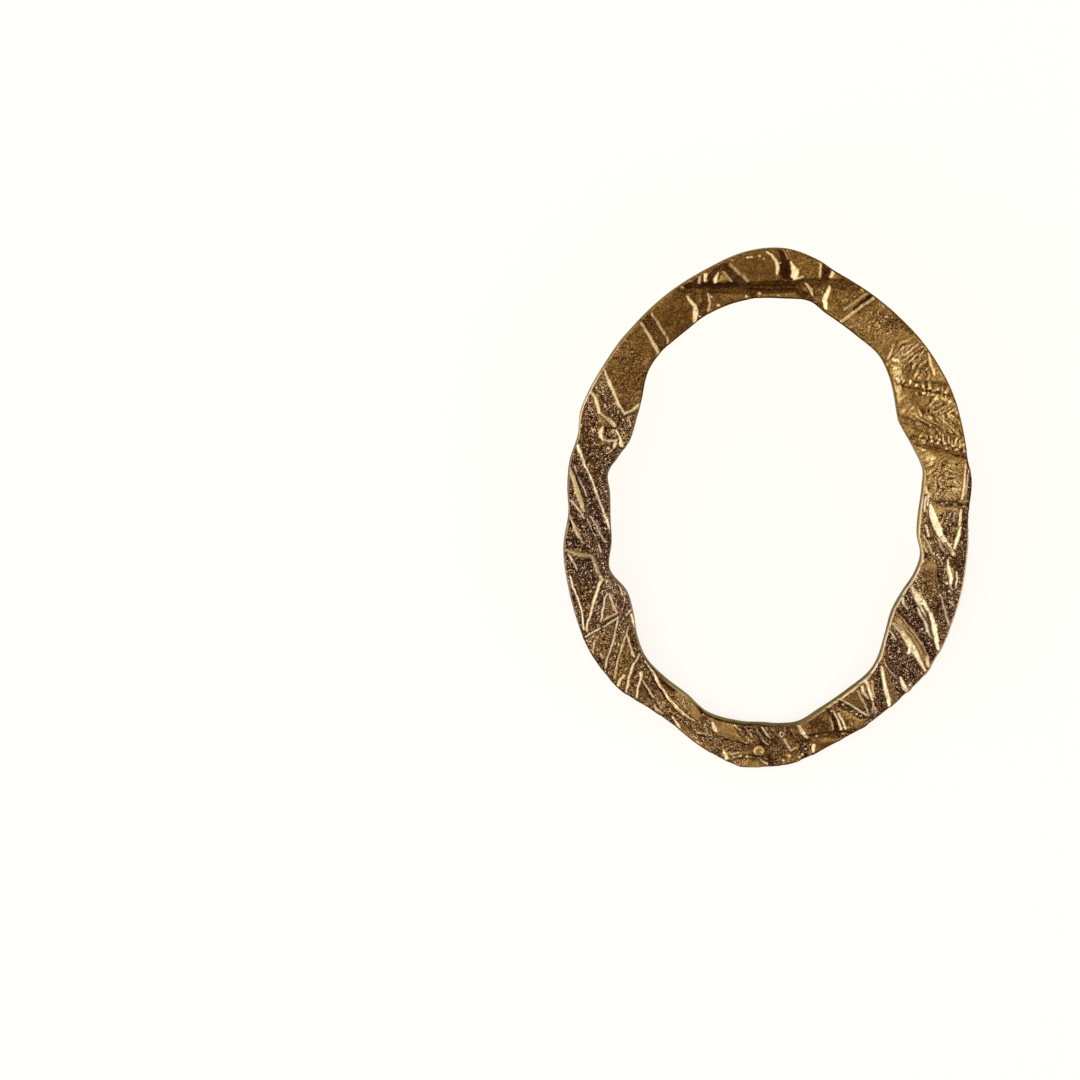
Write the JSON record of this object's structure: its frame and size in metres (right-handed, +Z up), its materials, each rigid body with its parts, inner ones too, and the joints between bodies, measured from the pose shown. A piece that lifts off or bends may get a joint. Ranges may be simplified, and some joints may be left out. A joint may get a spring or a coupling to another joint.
{
  "type": "etched earring",
  "caption": "Large open oval hoop stud in etched, darkened brass, with a plain ear post on a round pad behind its top.",
  "frame": {"origin": "middle of the bounding box at its base, on the surface that the earring lies on", "axes": "+Y from the hoop's lower edge towards its top, where the post is; +X to the right of the etched face; +Z up, the side the etched face shows"},
  "size_m": [0.0406, 0.0518, 0.0127],
  "materials": {
    "etched_brass": "antiqued brass: raised face satin olive gold, etched ground dark brown and grainy, rims and edges brighter",
    "post_brass": "drawn brass wire and punched pad, satin, slightly tarnished"
  },
  "bodies": {
    "root": {"etched_hoop": "etched_brass", "ear_post": "post_brass"}
  },
  "joints": []
}
